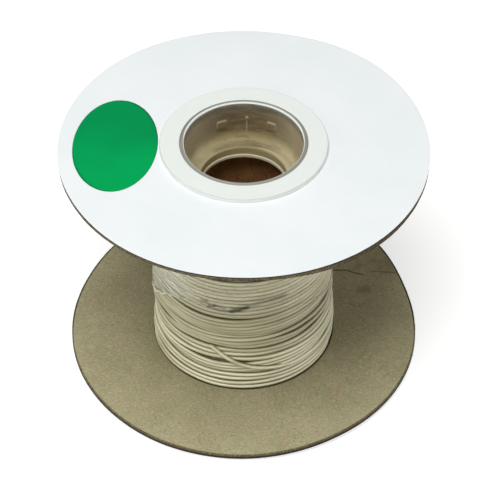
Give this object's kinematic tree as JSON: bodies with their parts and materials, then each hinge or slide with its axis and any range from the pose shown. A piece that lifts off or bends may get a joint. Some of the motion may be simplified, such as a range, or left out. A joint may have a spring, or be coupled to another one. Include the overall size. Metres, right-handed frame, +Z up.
{
  "type": "wire spool",
  "caption": "Flanged card spool wound with thin insulated wire: paper core tube, lined chipboard discs and moulded hubs with a stepped spindle bore.",
  "frame": {"origin": "centre of the base, on the plane that the lower hub's collar rests on", "axes": "+Z up along the spool's axis, from the lower disc to the labelled one; +Y away from the front; -X towards the oval label"},
  "size_m": [0.15, 0.15, 0.1094],
  "materials": {
    "kraft_tube": "matte",
    "masking_tape": "satin",
    "wire_jacket": "satin",
    "clear_film": "gloss",
    "chipboard": "matte",
    "white_paper": "matte",
    "milky_plastic": "satin",
    "label_paper": "satin"
  },
  "bodies": {
    "root": {"core_tube": "kraft_tube", "start_tape": "masking_tape", "wire_pack": "wire_jacket", "wire_outer_layer": "wire_jacket", "film_wrap": "clear_film", "lower_board": "chipboard", "lower_liner": "white_paper", "lower_hub": "milky_plastic", "upper_board": "chipboard", "upper_liner": "white_paper", "upper_hub": "milky_plastic", "label": "label_paper"}
  },
  "joints": []
}
